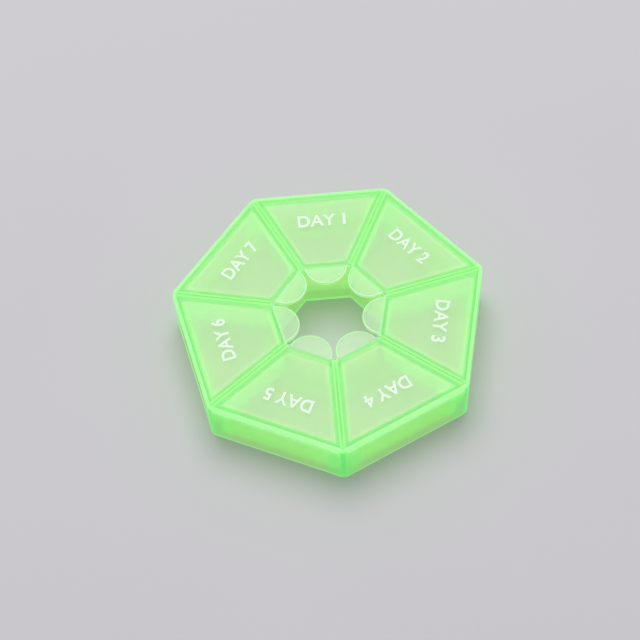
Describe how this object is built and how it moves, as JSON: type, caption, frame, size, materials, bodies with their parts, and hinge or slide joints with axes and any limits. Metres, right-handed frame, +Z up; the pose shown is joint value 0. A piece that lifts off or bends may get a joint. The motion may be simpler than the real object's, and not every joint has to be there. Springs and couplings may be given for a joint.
{
  "type": "weekly pill box",
  "caption": "Seven-sided ring pill box with a hole in the middle and a hinged lid with a half-round finger tab on each day's compartment.",
  "frame": {"origin": "middle of the outer box, on the underside that rests on the table", "axes": "+Z up, out of the lids; +Y towards the middle of the first day's side, -Y towards the corner opposite it"},
  "size_m": [0.0932, 0.091, 0.0163],
  "materials": {
    "tray_plastic": "translucent satin moulded polypropylene, light green",
    "lid_plastic": "translucent satin moulded polypropylene, pale milky green",
    "hinge_plastic": "thin translucent polypropylene film, bright green",
    "white_print": "flat white pad-printed ink"
  },
  "bodies": {
    "tray": {"tray": "tray_plastic", "hinge_1": "hinge_plastic", "hinge_2": "hinge_plastic", "hinge_3": "hinge_plastic", "hinge_4": "hinge_plastic", "hinge_5": "hinge_plastic", "hinge_6": "hinge_plastic", "hinge_7": "hinge_plastic"},
    "lid_1": {"lid_1": "lid_plastic"},
    "lid_2": {"lid_2": "lid_plastic"},
    "lid_3": {"lid_3": "lid_plastic"},
    "lid_4": {"lid_4": "lid_plastic"},
    "lid_5": {"lid_5": "lid_plastic"},
    "lid_6": {"lid_6": "lid_plastic"},
    "lid_7": {"lid_7": "lid_plastic"}
  },
  "joints": [
    {"name": "lid_1_hinge", "type": "hinge", "parent": "tray", "child": "lid_1", "pos_m": [0, 0.04529, 0.01575], "axis": [-1, 0, 0], "range_deg": [0, 175]},
    {"name": "lid_2_hinge", "type": "hinge", "parent": "tray", "child": "lid_2", "pos_m": [0.03366, 0.02908, 0.01575], "axis": [-0.6235, 0.7818, 0], "range_deg": [0, 175]},
    {"name": "lid_3_hinge", "type": "hinge", "parent": "tray", "child": "lid_3", "pos_m": [0.04197, -0.00734, 0.01575], "axis": [0.2225, 0.9749, 0], "range_deg": [0, 175]},
    {"name": "lid_4_hinge", "type": "hinge", "parent": "tray", "child": "lid_4", "pos_m": [0.01868, -0.03654, 0.01575], "axis": [0.901, 0.4339, 0], "range_deg": [0, 175]},
    {"name": "lid_5_hinge", "type": "hinge", "parent": "tray", "child": "lid_5", "pos_m": [-0.01868, -0.03654, 0.01575], "axis": [0.901, -0.4339, 0], "range_deg": [0, 175]},
    {"name": "lid_6_hinge", "type": "hinge", "parent": "tray", "child": "lid_6", "pos_m": [-0.04197, -0.00734, 0.01575], "axis": [0.2225, -0.9749, 0], "range_deg": [0, 175]},
    {"name": "lid_7_hinge", "type": "hinge", "parent": "tray", "child": "lid_7", "pos_m": [-0.03366, 0.02908, 0.01575], "axis": [-0.6235, -0.7818, 0], "range_deg": [0, 175]}
  ]
}
